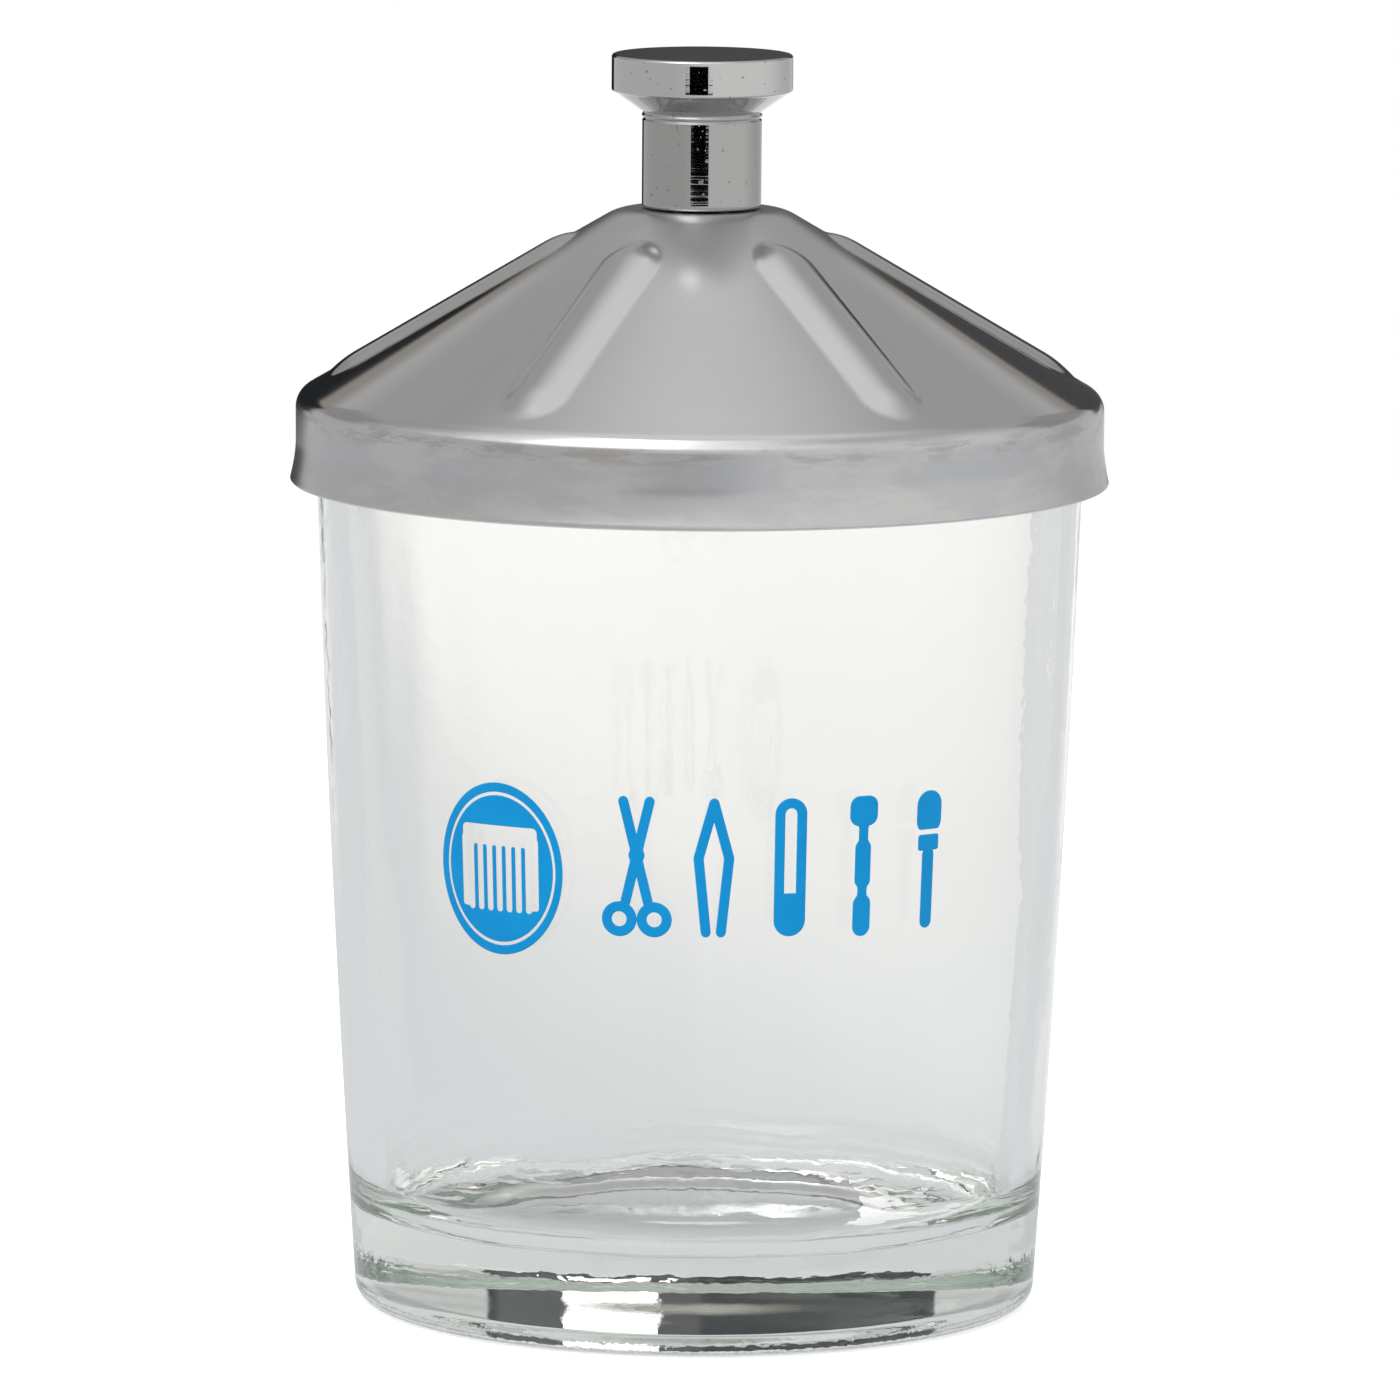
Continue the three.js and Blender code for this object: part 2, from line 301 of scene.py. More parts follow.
def chrome_material():
    """Chrome plate over turned steel with fine turning lines and small pits; the stem is painted darker than
    the rim as painted shade under the rim.
    """
    material, nodes, place, shader, _ = new_material("knob_chrome")
    shader.inputs["Metallic"].default_value = 1.0
    stem = nodes.ramp(nodes.level(place), 120.6 * MM, 120.4 * MM)
    lines = nodes.noise(nodes.stretched(place, (60.0, 60.0, 2600.0)), 1.0, 2.0)
    pits = nodes.ramp(nodes.noise(place, 1900.0, 1.0), 0.70, 0.76)
    # The stem below the rim gets a darker colour than the rim: painted shade under the rim.
    plate = nodes.mix(stem, (0.57, 0.565, 0.56, 1), (0.42, 0.415, 0.41, 1))
    nodes.put(shader.inputs["Base Color"], nodes.mix(pits, plate, (0.26, 0.26, 0.26, 1)))
    nodes.put(shader.inputs["Roughness"], nodes.ramp(pits, 0.0, 1.0, 0.035, 0.3))
    turning = nodes.times(lines, nodes.math("MULTIPLY_ADD", stem, 0.25, 0.35))
    nodes.put(shader.inputs["Normal"], nodes.bump(nodes.math("SUBTRACT", turning, pits), 0.18, 0.03 * MM))
    return material


def fastener_material():
    """Plain bright-zinc steel."""
    material, nodes, place, shader, _ = new_material("fastener_steel")
    shader.inputs["Metallic"].default_value = 1.0
    cloud = nodes.noise(place, 260.0, 4.0, 0.6)
    nodes.put(shader.inputs["Base Color"], nodes.mix(cloud, (0.42, 0.43, 0.45, 1), (0.62, 0.62, 0.62, 1)))
    nodes.put(shader.inputs["Roughness"], nodes.ramp(cloud, 0.3, 0.7, 0.28, 0.42))
    lines = nodes.noise(nodes.stretched(place, (200.0, 200.0, 3000.0)), 1.0, 2.0)
    nodes.put(shader.inputs["Normal"], nodes.bump(lines, 0.2, 0.03 * MM))
    return material


def ink_material():
    """Opaque blue screen-printed ink, slightly uneven."""
    material, nodes, place, shader, _ = new_material("print_ink")
    shader.inputs["Specular IOR Level"].default_value = 0.2
    cloud = nodes.noise(place, 160.0, 3.0)
    blue = nodes.mix(nodes.ramp(cloud, 0.3, 0.7), (0.0, 0.285, 0.66, 1), (0.0, 0.315, 0.71, 1))
    nodes.put(shader.inputs["Base Color"], blue)
    nodes.put(shader.inputs["Roughness"], nodes.ramp(cloud, 0.3, 0.7, 0.32, 0.42))
    nodes.put(shader.inputs["Normal"], nodes.bump(nodes.noise(place, 2200.0, 1.0), 0.1, 0.02 * MM))
    return material


# ---------------------------------------------------------------- glass jar

FOOT_RADIUS = 34.3             # where the wall's taper would meet the table
WALL_BOW = 0.4                 # how far the wall bulges past a straight taper, half way up
WALL = 3.0
FLOOR = 9.5                    # height of the floor's edge inside
CORNER = 1.8                   # radius of the outer bottom corner
FILLET = 4.5                   # radius between the floor and the wall inside
DISH_SLOPE = 0.07              # fall of the floor towards its middle
DISH_ROUND = 6.0               # radius over which the middle levels out
REST_INNER = 27.5              # inner radius of the flat ring that the jar stands on
PUNT_EDGE = 20.0               # radius at which the hollow underneath starts to fall to the ring
PUNT = 1.0                     # depth of the hollow
BOSS_DROP = 0.45               # a low boss in the middle of the hollow
BOSS_RADIUS = 12.0

# Heights of the glass's unevenness
DRAPE = 0.16                   # long upright waves inside the wall
FINE_WAVE = 0.04
WANDER = 0.055                 # short waves, in the wall's lower half
POOL = 0.12                    # unevenness of the floor inside
FLOOR_GRAIN = 0.05
SKIN = 0.03                    # outside of the thick base
SWELL = 0.04                   # underside

mouth_radius = jar_high.x
rim_z = jar_high.z - WALL / 2


def jar_radius(height):
    """Radius of the jar's outside."""
    t = height / rim_z
    return FOOT_RADIUS + (mouth_radius - FOOT_RADIUS) * t + 4 * WALL_BOW * t * (1 - t)


def dish_depth(radius):
    """How far the floor inside lies below its edge: a shallow cone with a rounded middle."""
    edge = jar_radius(FLOOR + FILLET) - WALL - FILLET
    return DISH_SLOPE * (np.hypot(edge, DISH_ROUND) - np.hypot(radius, DISH_ROUND))


def jar_profile():
    """From the middle of the underside, round the outside and the rim, to the middle of the floor inside."""
    corner_radius = jar_radius(CORNER) - CORNER
    heights = np.linspace(CORNER, rim_z, 90)
    outer = np.column_stack((jar_radius(heights), heights))
    rim = arc((mouth_radius - WALL / 2, rim_z), WALL / 2, 0, 180, 20)
    heights = np.linspace(rim_z, FLOOR + FILLET, 90)
    inner = np.column_stack((jar_radius(heights) - WALL, heights))
    fillet = arc((jar_radius(FLOOR + FILLET) - WALL - FILLET, FLOOR + FILLET), FILLET, 0, -90, 24)
    across = np.linspace(0, REST_INNER, 56)
    hollow = PUNT * (1 - smoothstep(PUNT_EDGE, REST_INNER, across))
    punt = np.column_stack((across, hollow - BOSS_DROP * (1 - smoothstep(1, BOSS_RADIUS, across))))
    foot = line((REST_INNER, 0), (corner_radius, 0), 6)
    corner = arc((corner_radius, CORNER), CORNER, -90, 0, 12)
    across = np.linspace(fillet[-1][0], 0, 60)
    floor = np.column_stack((across, FLOOR - dish_depth(across)))
    return join(punt, foot, corner, outer, rim, inner, fillet, floor)


def wavy_glass(azimuth, radius, height):
    """Pressed glass: true outside, uneven inside, with a slightly rough floor."""
    wall_gap = jar_radius(height) - radius
    inside = smoothstep(1.2, 2.8, wall_gap) * smoothstep(3, 5, height)
    upright = smoothstep(FLOOR + 0.5, FLOOR + 6, height)
    drape = ripple(azimuth, radius, height, (13, 13, 60), 3.0)
    fine = ripple(azimuth, radius, height, (5, 5, 26), 11.0)
    wander = ripple(azimuth, radius, height, (8, 8, 11), 17.0)
    waves = DRAPE * drape + FINE_WAVE * fine + WANDER * wander * smoothstep(70, 35, height)
    radius = radius + inside * upright * waves
    pool = ripple(azimuth, radius, height * 0, (7, 7, 7), 21.0)
    grain = ripple(azimuth, radius, height * 0, (2.4, 2.4, 2.4), 31.0)
    rough = smoothstep(14, 24, radius)
    height = height + inside * (1 - upright) * (POOL * pool + FLOOR_GRAIN * grain) * rough
    skin = ripple(azimuth, radius, height, (3.5, 3.5, 2.2), 41.0)
    low = smoothstep(7, 9, height) * smoothstep(18, 12, height) * (1 - inside)
    radius = radius + SKIN * skin * low * smoothstep(20, 30, radius)
    under = smoothstep(5, 3, height) * smoothstep(26, 23, radius)
    swell = ripple(azimuth, radius, height * 0, (9, 9, 9), 71.0)
    height = height + under * SWELL * swell
    return azimuth, radius, height


def glass_jar():
    jar = lathe("clear_glass_jar", jar_profile(), shape=wavy_glass)
    jar.data.materials.append(glass_material())
    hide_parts("glass_jar")
    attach(jar, "jar")


# ---------------------------------------------------------------- lid

SHEET = 0.55
TOP_RADIUS = 7.0               # flat seat under the knob
CROWN = 5.0                    # radius of the bend between the seat and the cone
SLOPE = 30.3                   # of the cone, in degrees
SHOULDER = 2.2                 # radius of the bend between the cone and the skirt
SKIRT = 40.65                  # radius of the skirt
WAIST_Z = 87.3                 # where the skirt starts to flare
FLARE_POWER = 1.7              # above 1, the flare is steeper near the lip
RIBS = 6
RIB_AZIMUTH = math.radians(32.5)
RIB_RISE = 0.88
RIB_HALF = 3.3                 # half of a rib's width
RIB_START = 12.5               # distances of a rib's ends from the axis
RIB_END = 38.0
RIB_CREASE = 0.06              # softness of the bend at a rib's foot
DENT = 0.04                    # unevenness of the cone
OUT_OF_ROUND = 0.05            # and of the skirt

lid_top = lid_high.z
lip_radius = lid_high.x
lip_z = lid_low.z


def lid_profile():
    """The sheet's section: its inside from the hole to the lip, then its outside back up."""
    steep = 90 - SLOPE
    fall = math.tan(math.radians(SLOPE))
    crown = arc((TOP_RADIUS, lid_top - CROWN), CROWN, 90, steep, 16)
    shoulder_radius = SKIRT - SHOULDER
    start = shoulder_radius + SHOULDER * math.cos(math.radians(steep))
    start_z = crown[-1][1] - (start - crown[-1][0]) * fall
    centre_z = start_z - SHOULDER * math.sin(math.radians(steep))
    shoulder = arc((shoulder_radius, centre_z), SHOULDER, steep, 0, 18)
    share = np.linspace(0, 1, 14)
    flare = np.column_stack((SKIRT + (lip_radius - SKIRT) * share ** FLARE_POWER,
                             WAIST_Z + (lip_z - WAIST_Z) * share))
    outside = join(line((HOLE, lid_top), (TOP_RADIUS, lid_top), 5), crown,
                   line(crown[-1], shoulder[0], 72), shoulder, line(shoulder[-1], flare[0], 6), flare)
    inside = offset(outside, SHEET)
    centre = (outside[-1] + inside[-1]) / 2
    edge = (outside[-1] - inside[-1]) / 2
    turn = np.radians(np.linspace(0, 180, 9))[:, None]
    ahead = np.array((edge[1], -edge[0]))
    lip = centre - edge * np.cos(turn) + ahead * np.sin(turn) * 0.8
    return join(inside, lip, outside[::-1])


def rib_height(along, across):
    """Height of a pressed rib: a rounded bead with round ends and a small crease at its foot."""
    nearest = np.clip(along, RIB_START + RIB_HALF, RIB_END - RIB_HALF)
    away = np.hypot(along - nearest, across) / RIB_HALF
    bead = RIB_RISE * (1 - away ** 2)
    return (bead + np.hypot(bead, RIB_CREASE)) / 2


def pressed_lid(azimuth, radius, height):
    """Presses the ribs up and makes the cone and the skirt slightly uneven."""
    sector = 2 * math.pi / RIBS
    from_rib = (azimuth - RIB_AZIMUTH + sector / 2) % sector - sector / 2
    height = height + rib_height(radius * np.cos(from_rib), radius * np.sin(from_rib))
    dents = ripple(azimuth, radius, height * 0, (14, 14, 14), 51.0)
    height = height + DENT * dents * smoothstep(8, 14, radius) * smoothstep(41, 36, radius)
    out_of_round = ripple(azimuth, radius, height, (16, 16, 9), 61.0)
    radius = radius + OUT_OF_ROUND * out_of_round * smoothstep(38, 40, radius)
    return azimuth, radius, height


def lid_shell():
    lid = lathe("steel_lid", lid_profile(), 480, shape=pressed_lid)
    lid.data.materials.append(lid_material())
    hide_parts("lid_shell")
    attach(lid, "lid")


# ---------------------------------------------------------------- knob

STEM = 6.0
RIM_Z = 122.65                 # lower edge of the rim
NECK_Z = 120.5                 # where the cone under the rim meets the stem
HOLE_DEPTH = 9.5
KNOB_EDGE = 0.28               # radius of the broken edges


def knob_profile():
    """From the end of the screw's hole, down and out round the foot, up the stem and over the top."""
    radius, top, foot = knob_high.x, knob_high.z, knob_low.z
    edge = KNOB_EDGE
    hole_end = foot + HOLE_DEPTH
    neck = [(STEM, NECK_Z - 0.75), (STEM - 0.16, NECK_Z - 0.62), (STEM - 0.16, NECK_Z - 0.5),
            (STEM + 0.02, NECK_Z - 0.4), (STEM + 0.05, NECK_Z - 0.2), (STEM - 0.08, NECK_Z - 0.1),
            (STEM - 0.08, NECK_Z), (STEM + 0.04, NECK_Z + 0.1)]
    return join(
        line((0, hole_end), (HOLE, hole_end), 2),
        line((HOLE, hole_end), (HOLE, foot), 4),
        line((HOLE, foot), (STEM - edge, foot), 4),
        arc((STEM - edge, foot + edge), edge, -90, 0, 6),
        line((STEM, foot + edge), (STEM, NECK_Z - 0.8), 24),
        np.array(neck),
        line((STEM + 0.04, NECK_Z + 0.1), (radius - 0.2, RIM_Z - 0.05), 12),
        arc((radius - 0.2, RIM_Z + 0.15), 0.2, -60, 0, 6),
        line((radius, RIM_Z + 0.15), (radius, top - edge), 12),
        arc((radius - edge, top - edge), edge, 0, 90, 8),
        line((radius - edge, top), (0, top), 30),
    )


def lid_knob():
    knob = lathe("chrome_knob", knob_profile(), 192)
    knob.data.materials.append(chrome_material())
    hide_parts("lid_knob")
    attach(knob, "lid")


# ---------------------------------------------------------------- fasteners under the lid

SCREW_SHANK = 2.0
SCREW_CHAMFER = 0.8            # at the tip
SCREW_DOME = 1.5               # domed part of the head's height
HEAD_EDGE = 0.15
SCREW_PITCH = 0.7
THREAD_DEPTH = 0.3
RECESS_REACH = 2.1
RECESS_HALF = 0.45             # half of the cross recess's width
RECESS_DEPTH = 1.4
LOCK_GAP = math.radians(16)
LOCK_SLANT = 0.12              # turn of the lock washer's ends, in radians for each millimetre of height

screw_seat = lock_low.z - FACE_GAP


def ring_section(inner, outer, low, high, edge):
    """Section of a flat ring with rounded edges."""
    left, right = inner + edge, outer - edge
    bottom, top = low + edge, high - edge
    return join(arc((left, bottom), edge, 180, 270, 5), arc((right, bottom), edge, -90, 0, 5),
                arc((right, top), edge, 0, 90, 5), arc((left, top), edge, 90, 180, 5))


def knob_washer():
    section = ring_section(HOLE, washer_high.x, washer_low.z, washer_high.z, 0.12)
    washer = lathe("flat_washer", section, 128)
    washer.data.materials.append(fasteners)
    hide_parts("knob_washer")
    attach(washer, "lid_lifter")


def lock_washer():
    """A split ring, squeezed flat, with slanted ends at its back."""
    section = ring_section(HOLE, lock_high.x, lock_low.z, lock_high.z, 0.1)
    middle = (lock_low.z + lock_high.z) / 2
    steps = 96
    places, faces = [], []
    for turn in np.linspace(math.pi + LOCK_GAP / 2, 3 * math.pi - LOCK_GAP / 2, steps + 1):
        for radius, height in section:
            azimuth = turn + LOCK_SLANT * (height - middle)
            places.append((radius * math.sin(azimuth), -radius * math.cos(azimuth), height))
    count = len(section)
    for step in range(steps):
        for i in range(count):
            j = (i + 1) % count
            here, ahead = step * count, (step + 1) * count
            faces.append((here + i, ahead + i, ahead + j, here + j))
    faces.append(tuple(range(count)))
    faces.append(tuple(reversed(range(steps * count, (steps + 1) * count))))
    washer = mesh_object("split_washer", places, faces)
    washer.data.materials.append(fasteners)
    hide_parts("lock_washer")
    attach(washer, "lid")


def threaded_and_recessed(azimuth, radius, height):
    """Cuts the thread into the shank and the cross recess into the head."""
    along = (height / SCREW_PITCH - azimuth / (2 * math.pi)) % 1
    threaded = smoothstep(screw_seat + 1, screw_seat + 1.5, height) * (radius > 0.65 * SCREW_SHANK)
    groove = THREAD_DEPTH * (1 - np.abs(2 * along - 1)) * threaded
    x, y = np.abs(radius * np.sin(azimuth)), np.abs(radius * np.cos(azimuth))
    across = np.minimum(x, y)
    reach = np.maximum(x, y)
    floor_depth = RECESS_DEPTH * (1 - 0.25 * smoothstep(0, RECESS_REACH, reach))
    inside = smoothstep(RECESS_HALF + 0.06, RECESS_HALF - 0.06, across)
    inside = inside * smoothstep(RECESS_REACH + 0.1, RECESS_REACH - 0.1, reach)
    head = height < screw_low.z + SCREW_DOME
    return azimuth, radius - groove, height + np.where(head, floor_depth * inside, 0)


def knob_screw():
    """An M4 pan-head screw, head down."""
    low, high = screw_low.z, screw_high.z
    head, shank, seat = screw_high.x, SCREW_SHANK, screw_seat
    share = np.sin(np.linspace(0, math.pi / 2, 72))
    dome = np.column_stack((head * share, low + SCREW_DOME * (1 - np.sqrt(1 - share ** 2))))
    profile = join(
        dome,
        arc((head - HEAD_EDGE, seat - HEAD_EDGE), HEAD_EDGE, 0, 90, 4),
        line((head - HEAD_EDGE, seat), (shank, seat), 4),
        line((shank, seat), (shank, high - SCREW_CHAMFER), 160),
        line((shank, high - SCREW_CHAMFER), (shank - SCREW_CHAMFER, high), 6),
        line((shank - SCREW_CHAMFER, high), (0, high), 3),
    )
    screw = lathe("pan_head_screw", profile, 144, shape=threaded_and_recessed)
    screw.data.materials.append(fasteners)
    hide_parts("knob_screw")
    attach(screw, "lid")


# ---------------------------------------------------------------- print on the glass

PRINT_LIFT = 0.03
PRINT_THICKNESS = 0.04
PRINT_PITCH = 0.2
STROKE = 0.5                   # half the width of a drawn line
TOOL_SPACING = 7.6


def disc(u, v, centre, radius):
    """Distance to a disc's edge; negative inside, as in all the shapes below."""
    return np.hypot(u - centre[0], v - centre[1]) - radius


def stroke(u, v, *points, half=STROKE):
    """A line drawn through points, with round ends."""
    best = np.full(u.shape, np.inf)
    for start, end in zip(points[:-1], points[1:]):
        along = np.array(end, float) - start
        length = max(along @ along, 1e-9)
        share = np.clip(((u - start[0]) * along[0] + (v - start[1]) * along[1]) / length, 0, 1)
        best = np.minimum(best, np.hypot(u - start[0] - share * along[0], v - start[1] - share * along[1]))
    return best - half


def outline(shape, half=STROKE):
    """A drawn line along a shape's edge, on its inside."""
    return np.abs(shape + half) - half


def panel(u, v, centre, half_width, half_height, corner):
    """A rectangle with round corners."""
    x = np.abs(u - centre[0]) - half_width + corner
    y = np.abs(v - centre[1]) - half_height + corner
    return np.hypot(np.maximum(x, 0), np.maximum(y, 0)) + np.minimum(np.maximum(x, y), 0) - corner


def merged(*shapes):
    return np.minimum.reduce(shapes)


def badge(u, v):
    """A solid oval badge with a comb left clear in it."""
    oval = (np.hypot(u / 7.0, v / 8.6) - 1) * 7.0
    spine = panel(u, v, (0, 3.3), 4.3, 1.0, 0.5)
    teeth = [panel(u, v, (x, -0.7), 0.34, 3.6, 0.3) for x in np.arange(-3.3, 3.4, 1.1)]
    ends = [panel(u, v, (side * 4.0, -0.4), 0.42, 3.6, 0.3) for side in (-1, 1)]
    rim = outline(oval + 0.75, 0.14)
    return np.maximum(oval, -merged(spine, rim, *teeth, *ends))


def scissors(u, v):
    rings = [outline(disc(u, v, (side * 1.75, -5.2), 1.75)) for side in (-1, 1)]
    blades = [stroke(u, v, (side * 1.1, -3.4), (side * -1.3, 6.6)) for side in (-1, 1)]
    pivot = disc(u, v, (0, 1.2), 0.8)
    return merged(pivot, *rings, *blades)


def tweezers(u, v):
    return merged(*(stroke(u, v, (0, 6.5), (side * 1.5, 1.0), (side * 0.75, -6.4)) for side in (-1, 1)))


def nail_file(u, v):
    blade = panel(u, v, (0, 0), 1.6, 6.9, 1.6)
    grip = np.maximum(blade, v + 2.6)
    return merged(outline(blade), grip)


def pusher(u, v):
    shaft = stroke(u, v, (0, 4.2), (0, -4.6))
    paddle = panel(u, v, (0, 5.3), 1.5, 1.5, 1.0)
    grip = stroke(u, v, (0, 1.6), (0, -1.6), half=0.85)
    heel = stroke(u, v, (0, -4.0), (0, -6.3), half=0.95)
    return merged(shaft, paddle, grip, heel)


def brush(u, v):
    bristles = np.maximum(panel(u, v, (0, 4.6), 1.5, 2.2, 1.45), -v + 2.9)
    collar = panel(u, v, (0, 1.6), 1.25, 0.8, 0.2)
    handle = stroke(u, v, (0, 0.4), (0, -6.3), half=0.7)
    return merged(bristles, collar, handle)


def tool_row(u, v):
    """Five manicure tools side by side."""
    tools = (scissors, tweezers, nail_file, pusher, brush)
    middle = (len(tools) - 1) / 2
    return merged(*(tool(u - (number - middle) * TOOL_SPACING, v) for number, tool in enumerate(tools)))


def trace(shape, half_width, half_height):
    """Flat cells and outline of the region where a shape is negative, by marching squares."""
    across = np.arange(-half_width, half_width + PRINT_PITCH, PRINT_PITCH)
    up = np.arange(-half_height, half_height + PRINT_PITCH, PRINT_PITCH)
    u, v = np.meshgrid(across, up)
    value = shape(u, v)
    value[np.abs(value) < 1e-4] = 1e-4
    places, index, cells = [], {}, []

    def corner(row, column):
        key = (row, column)
        if key not in index:
            index[key] = len(places)
            places.append((across[column], up[row]))
        return index[key]

    def crossing(first, second):
        key = (min(first, second), max(first, second))
        if key not in index:
            share = value[key[0]] / (value[key[0]] - value[key[1]])
            start = np.array((across[key[0][1]], up[key[0][0]]))
            end = np.array((across[key[1][1]], up[key[1][0]]))
            index[key] = len(places)
            places.append(tuple(start + (end - start) * share))
        return index[key]

    for row in range(len(up) - 1):
        for column in range(len(across) - 1):
            corners = ((row, column), (row, column + 1), (row + 1, column + 1), (row + 1, column))
            cell = []
            for here, ahead in zip(corners, corners[1:] + corners[:1]):
                if value[here] < 0:
                    cell.append(corner(*here))
                if (value[here] < 0) != (value[ahead] < 0):
                    cell.append(crossing(here, ahead))
            if len(cell) > 2:
                cells.append(cell)
    return np.array(places), cells


def ink(name, shape, half_width, half_height, middle, height):
    """A thin closed layer of ink on the outside of the glass, round a middle azimuth and height."""
    places, cells = trace(shape, half_width, half_height)
    turn = middle + places[:, 0] / jar_radius(height)
    level = height + places[:, 1]
    skins = []
    for lift in (PRINT_LIFT, PRINT_LIFT + PRINT_THICKNESS):
        radius = jar_radius(level) + lift
        skins.append(np.column_stack((radius * np.sin(turn), -radius * np.cos(turn), level)))
    count = len(places)
    edges = {(start, end) for cell in cells for start, end in zip(cell, cell[1:] + cell[:1])}
    faces = [tuple(count + i for i in cell) for cell in cells]
    faces += [tuple(reversed(cell)) for cell in cells]
    for start, end in sorted(edges):
        if (end, start) not in edges:
            faces.append((start, end, count + end, count + start))
    layer = mesh_object(name, np.concatenate(skins), faces)
    layer.data.materials.append(print_ink)
    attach(layer, "jar")


# ---------------------------------------------------------------- studio

CAMERA_DISTANCE = 1208.4                      # in front of the jar's axis
CAMERA_HEIGHT = 231.2
CAMERA_ASIDE = 0.2
CAMERA_PITCH = math.radians(8.02)
CAMERA_ROLL = math.radians(0.4)
CAMERA_LENS = 310.9
FLOOR_RADIUS = 700.0
BACKDROP_SPREAD = 0.344                       # the bright backdrop widens by this share of its distance
SIDE_COLOUR = (0.665, 0.68, 0.695, 1)


def camera():
    """The photograph's viewing angle: from the front and slightly above, with a long lens."""
    data = bpy.data.cameras.new("camera")
    data.lens = CAMERA_LENS
    data.sensor_width = 36.0
    data.clip_start, data.clip_end = 0.05, 20.0
    viewer = bpy.data.objects.new("camera", data)
    viewer.location = (CAMERA_ASIDE * MM, -CAMERA_DISTANCE * MM, CAMERA_HEIGHT * MM)
    viewer.rotation_mode = "ZYX"
    viewer.rotation_euler = (math.pi / 2 - CAMERA_PITCH, 0, CAMERA_ROLL)
    bpy.context.scene.collection.objects.link(viewer)
    bpy.context.scene.camera = viewer


def floor():
    """A white sweep. The camera sees it plain; glass and steel see it dim near the jar and to its sides."""
    sweep = lathe("floor", np.array([(0, -2.0), (FLOOR_RADIUS, -2.0), (FLOOR_RADIUS, -0.1), (0, -0.1)]), 96)
    material, nodes, place, shader, output = new_material("floor")
    reach = nodes.reach(place)
    shader.inputs["Base Color"].default_value = (0.9, 0.9, 0.9, 1)
    shader.inputs["Roughness"].default_value = 0.9
    shader.inputs["Specular IOR Level"].default_value = 0.0
    shader.inputs["Emission Color"].default_value = (1, 1, 1, 1)
    nodes.put(shader.inputs["Emission Strength"], nodes.ramp(reach, 30 * MM, 200 * MM, 0.58, 0.65))
    parts = nodes.add("ShaderNodeSeparateXYZ", {0: place}).outputs
    spread = nodes.times(parts[1], BACKDROP_SPREAD)
    past_right = nodes.math("SUBTRACT", parts[0], spread)
    past_left = nodes.math("SUBTRACT", nodes.times(parts[0], -1.0), spread)
    behind = nodes.times(nodes.ramp(past_right, 33 * MM, 28 * MM), nodes.ramp(past_left, 12 * MM, -125 * MM))
    level = nodes.math("ADD", nodes.ramp(reach, 50 * MM, 130 * MM, 0.73, 0.87, smooth=False),
                       nodes.ramp(reach, 130 * MM, 620 * MM, 0.0, 0.17, smooth=False))
    tone = nodes.mix(nodes.ramp(reach, 120 * MM, 400 * MM), (0.955, 0.972, 0.97, 1), (0.985, 0.975, 0.955, 1))
    bright = nodes.add("ShaderNodeVectorMath", {0: tone, "Scale": level}, operation="SCALE").outputs[0]
    glow = nodes.add("ShaderNodeEmission", {"Color": nodes.mix(behind, SIDE_COLOUR, bright)})
    seen = nodes.add("ShaderNodeLightPath").outputs["Is Camera Ray"]
    both = nodes.add("ShaderNodeMixShader", {0: seen, 1: glow.outputs[0], 2: shader.outputs[0]})
    nodes.tree.links.new(both.outputs[0], output.inputs["Surface"])
    sweep.data.materials.append(material)


def card(name, left, right, low, high, away, colour, strength, on_steel=True):
    """An upright panel across the view, in millimetres, that only glass and, if on_steel, steel see."""
    corners = [(left, away, low), (right, away, low), (right, away, high), (left, away, high)]
    screen = mesh_object(name, corners, [(0, 1, 2, 3)])
    material, nodes, _, _, output = new_material(name)
    glow = nodes.add("ShaderNodeEmission", {"Color": colour, "Strength": strength})
    nodes.tree.links.new(glow.outputs[0], output.inputs["Surface"])
    screen.data.materials.append(material)
    screen.visible_camera = False
    screen.visible_diffuse = False
    screen.visible_glossy = on_steel
    screen.visible_shadow = False


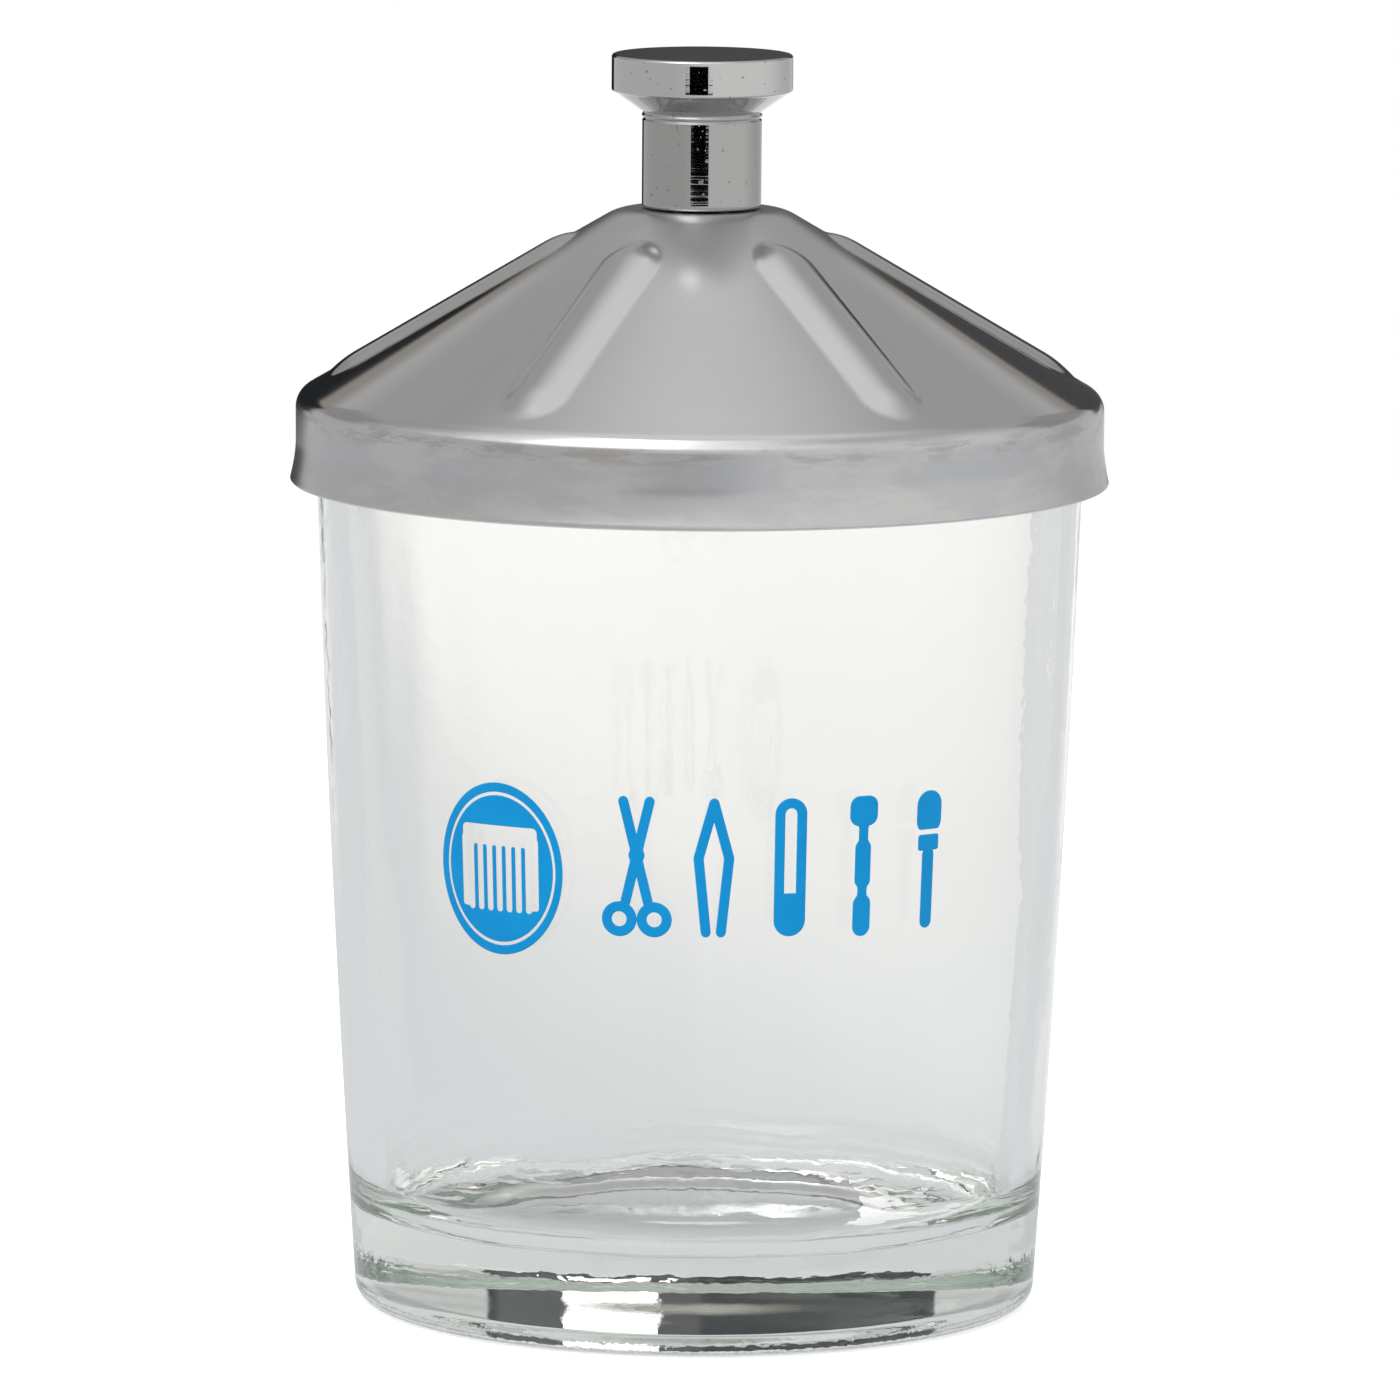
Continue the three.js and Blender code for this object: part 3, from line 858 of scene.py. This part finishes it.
def studio():
    """A light tent: grey all round, bright above and behind, a key light in front and dark gaps."""
    world = bpy.data.worlds.new("studio")
    bpy.context.scene.world = world
    world.use_nodes = True
    nodes = Nodes(world.node_tree)
    towards = nodes.add("ShaderNodeTexCoord").outputs["Generated"]
    elevation = nodes.math("ARCSINE", nodes.level(towards))

    def window(azimuth, low, high, half_width, soft_across, soft_up):
        """1 inside a patch of the surroundings and 0 outside, in degrees; azimuth 0 is the camera's side."""
        rotation = (0, 0, -math.radians(azimuth))
        turned = nodes.add("ShaderNodeMapping", {"Vector": towards, "Rotation": rotation}).outputs[0]
        parts = nodes.add("ShaderNodeSeparateXYZ", {0: turned}).outputs
        side = nodes.math("ABSOLUTE", nodes.math("ARCTAN2", parts[0], nodes.times(parts[1], -1.0)))
        edge = math.radians(soft_up)
        across = nodes.ramp(side, math.radians(half_width + soft_across), math.radians(half_width))
        above = nodes.ramp(elevation, math.radians(low) - edge, math.radians(low))
        below = nodes.ramp(elevation, math.radians(high) + edge, math.radians(high))
        return nodes.times(across, nodes.times(above, below))

    level = nodes.math("ADD", nodes.ramp(elevation, math.radians(15), math.radians(35), 0.62, 0.48),
                       nodes.ramp(elevation, math.radians(45), math.radians(78), 0.0, 0.47))
    light = nodes.add("ShaderNodeCombineColor", {0: level, 1: level, 2: level}).outputs[0]
    rays = nodes.add("ShaderNodeLightPath").outputs
    on_steel = nodes.math("SUBTRACT", 1.0, rays["Is Transmission Ray"])
    patches = (                # share of the rays, place as in window(), colour; later ones lie on top
        (1.0, (50, -60, 14, 30, 60, 60), (0.90, 0.90, 0.90, 1)),           # fill from the right
        (1.0, (-25, 26, 68, 15, 75, 8), (1.45, 1.45, 1.45, 1)),            # large soft light in front
        (1.0, (-30, 30, 66, 10, 22, 9), (3.0, 3.0, 3.0, 1)),               # key light
        (on_steel, (-165, -60, 1, 11, 3, 1), (0.02, 0.02, 0.02, 1)),       # dark room behind, left
        (1.0, (174, -5, 1, 6, 1.5, 1), (0.12, 0.12, 0.125, 1)),            # and a sliver of it, right
        (1.0, (177, -60, -6, 8, 2, 1), (0.9, 0.9, 0.9, 1)),                # bright screen behind
        (1.0, (-136, 15, 30, 14, 9, 7), (0.38, 0.38, 0.39, 1)),            # dim walls above it
        (1.0, (136, 15, 30, 14, 9, 7), (0.38, 0.38, 0.39, 1)),
        (1.0, (180, 17, 21, 30, 5, 5), (0.36, 0.335, 0.305, 1)),
        (1.0, (-176.5, 1, 17, 29.5, 1, 1), (0.018, 0.02, 0.022, 1)),       # dark gap
        (1.0, (168, 1, 18.5, 12, 1.5, 1.5), (0.075, 0.075, 0.078, 1)),
    )
    for share, place, colour in patches:
        light = nodes.mix(nodes.times(window(*place), share), light, colour)
    light = nodes.mix(rays["Is Camera Ray"], light, (1, 1, 1, 1))
    background = nodes.add("ShaderNodeBackground", {"Color": light})
    nodes.add("ShaderNodeOutputWorld", {"Surface": background.outputs[0]})
    card("camera_side", -200, 93, 57, 80, -700, (0, 0, 0, 1), 0.0)
    card("camera_stand", -272, 163, 38, 57, -700, (0, 0, 0, 1), 0.0)
    card("back_strip", 38, 150, 40, 170, 600, (1, 1, 1, 1), 1.7, on_steel=False)


def render_settings():
    scene = bpy.context.scene
    scene.view_settings.view_transform = "Standard"
    scene.cycles.max_bounces = 48
    scene.cycles.transmission_bounces = 48
    scene.cycles.glossy_bounces = 48
    scene.cycles.transparent_max_bounces = 16
    scene.cycles.sample_clamp_indirect = 10.0


fasteners = fastener_material()
print_ink = ink_material()
glass_jar()
ink("print_badge", badge, 8.0, 9.4, math.radians(-31.6), 48.5)
ink("print_tools", tool_row, 19.4, 7.8, math.radians(14.3), 49.5)
lid_shell()
lid_knob()
knob_washer()
lock_washer()
knob_screw()
camera()
floor()
studio()
render_settings()
